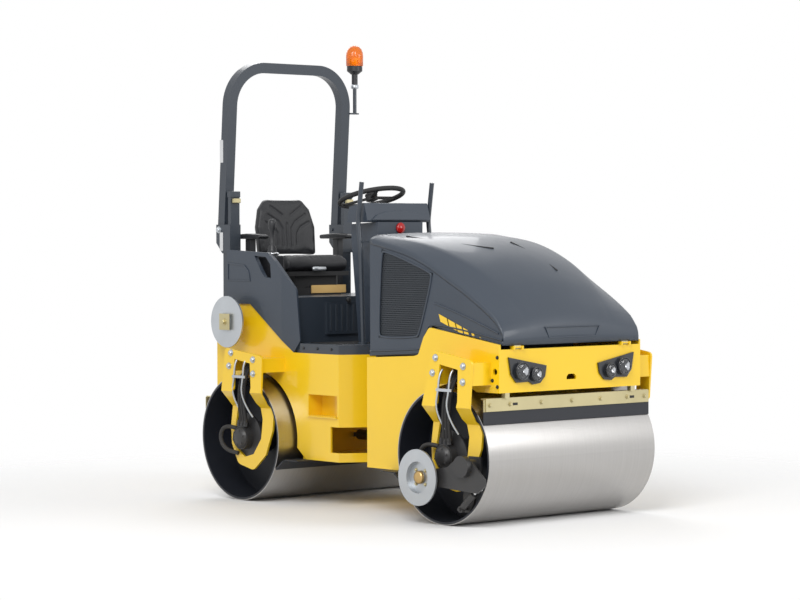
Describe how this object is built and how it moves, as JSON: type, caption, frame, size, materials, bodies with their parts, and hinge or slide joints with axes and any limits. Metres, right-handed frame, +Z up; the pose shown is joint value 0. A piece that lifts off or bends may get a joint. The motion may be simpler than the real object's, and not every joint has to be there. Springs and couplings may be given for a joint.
{
  "type": "articulated tandem roller",
  "caption": "Compact ride-on articulated tandem roller with smooth steel drums, folding roll-over bar, tilting hood, seat, beacon and an edge cutter.",
  "frame": {"origin": "on the ground, midway between the two drum axes, on the centre plane", "axes": "+X forward along the direction of travel, +Y to the operator's left, +Z up"},
  "size_m": [2.47, 1.346, 2.6118],
  "materials": {
    "yellow_paint": "gloss, slightly orange-peeled",
    "grey_paint": "satin anthracite",
    "grey_plastic": "moulded, satin",
    "black_steel": "semi-matt black",
    "drum_steel": "turned on the outside, dark paint inside",
    "zinc_plate": "bright zinc",
    "yellow_zinc": "yellow passivated zinc",
    "seat_vinyl": "grained vinyl",
    "black_rubber": "matt",
    "amber_lens": "ribbed clear amber",
    "lamp_plastic": "black bezel",
    "red_lens": "clear red",
    "chrome_rod": "ground and plated",
    "cast_engine": "plain block",
    "steel_mesh": "perforated sheet, black"
  },
  "bodies": {
    "rear_frame": {"rear_frame": "yellow_paint", "rear_brackets": "yellow_paint", "rear_motors": "black_steel", "rear_scrapers": "yellow_zinc", "side_panel_left": "grey_plastic", "side_panel_right": "grey_plastic", "floor_plate": "grey_paint", "seat_console": "grey_paint", "seat_base": "black_rubber", "seat_cushion": "seat_vinyl", "seat_back": "seat_vinyl", "armrests": "seat_vinyl", "travel_lever": "black_steel", "dash_console": "grey_plastic", "grab_rails": "grey_paint", "steering_column": "black_steel", "rops_posts": "grey_paint", "spare_disc": "zinc_plate", "tail_lamps": "red_lens"},
    "rear_drum": {"rear_drum": "drum_steel"},
    "rops_hoop": {"rops_hoop": "grey_paint", "beacon_base": "black_steel", "beacon_lens": "amber_lens"},
    "steering_wheel": {"steering_wheel": "black_rubber"},
    "knuckle": {"knuckle": "black_steel"},
    "steer_barrel": {"steer_barrel": "black_steel"},
    "steer_rod": {"steer_rod": "chrome_rod"},
    "front_frame": {"front_frame": "yellow_paint", "front_carriers": "yellow_paint", "front_brackets": "yellow_paint", "front_motors": "black_steel", "front_scrapers": "yellow_zinc", "engine": "cast_engine", "cowl": "grey_paint", "headlamp_pods": "lamp_plastic", "edge_mount": "black_steel"},
    "front_drum": {"front_drum": "drum_steel"},
    "hood": {"hood_shell": "grey_plastic", "hood_grilles": "steel_mesh"},
    "edge_arm": {"edge_arm": "black_steel"},
    "edge_disc": {"edge_disc": "zinc_plate"},
    "edge_barrel": {"edge_barrel": "black_steel"},
    "edge_rod": {"edge_rod": "chrome_rod"}
  },
  "joints": [
    {"name": "steering", "type": "hinge", "parent": "rear_frame", "child": "knuckle", "pos_m": [0, 0, 0.485], "axis": [0, 0, 1], "range_deg": [-30, 30]},
    {"name": "oscillation", "type": "hinge", "parent": "knuckle", "child": "front_frame", "pos_m": [0.3, 0, 0.55], "axis": [1, 0, 0], "range_deg": [-8, 8]},
    {"name": "front_drum_turn", "type": "hinge", "parent": "front_frame", "child": "front_drum", "pos_m": [0.85, 0, 0.35], "axis": [0, 1, 0], "continuous": true},
    {"name": "rear_drum_turn", "type": "hinge", "parent": "rear_frame", "child": "rear_drum", "pos_m": [-0.85, 0, 0.35], "axis": [0, 1, 0], "continuous": true},
    {"name": "hood_open", "type": "hinge", "parent": "front_frame", "child": "hood", "pos_m": [1.186, 0, 0.915], "axis": [0, 1, 0], "range_deg": [0, 60]},
    {"name": "rops_fold", "type": "hinge", "parent": "rear_frame", "child": "rops_hoop", "pos_m": [-1.222, 0, 1.515], "axis": [0, -1, 0], "range_deg": [0, 100]},
    {"name": "wheel_turn", "type": "hinge", "parent": "rear_frame", "child": "steering_wheel", "pos_m": [-0.41, 0, 1.695], "axis": [-0.2756, 0, 0.9613], "continuous": true},
    {"name": "edge_arm_swing", "type": "hinge", "parent": "front_frame", "child": "edge_arm", "pos_m": [1.07, -0.646, 0.318], "axis": [0, -1, 0], "range_deg": [0, 16]},
    {"name": "edge_disc_turn", "type": "hinge", "parent": "edge_arm", "child": "edge_disc", "pos_m": [0.752, -0.67, 0.243], "axis": [0, 1, 0], "continuous": true},
    {"name": "edge_barrel_swing", "type": "hinge", "parent": "front_frame", "child": "edge_barrel", "pos_m": [1.01, -0.617, 0.095], "axis": [0, -1, 0], "range_deg": [-2, 2]},
    {"name": "edge_rod_slide", "type": "slide", "parent": "edge_barrel", "child": "edge_rod", "axis": [0.7593, 0, 0.6508], "range_m": [-0.001, 0.04]},
    {"name": "ram_swing", "type": "hinge", "parent": "rear_frame", "child": "steer_barrel", "pos_m": [-0.4, -0.122, 0.37], "axis": [0, 0, 1], "range_deg": [-2, 2]},
    {"name": "ram_slide", "type": "slide", "parent": "steer_barrel", "child": "steer_rod", "axis": [1, 0, 0], "range_m": [-0.07, 0.07]}
  ],
  "couplings": [
    {"joint": "edge_barrel_swing", "follows": "edge_arm_swing", "ratio": 0.01304},
    {"joint": "edge_rod_slide", "follows": "edge_arm_swing", "m_per_rad": 0.13074},
    {"joint": "ram_swing", "follows": "steering", "ratio": -0.0074},
    {"joint": "ram_slide", "follows": "steering", "m_per_rad": 0.12414}
  ]
}
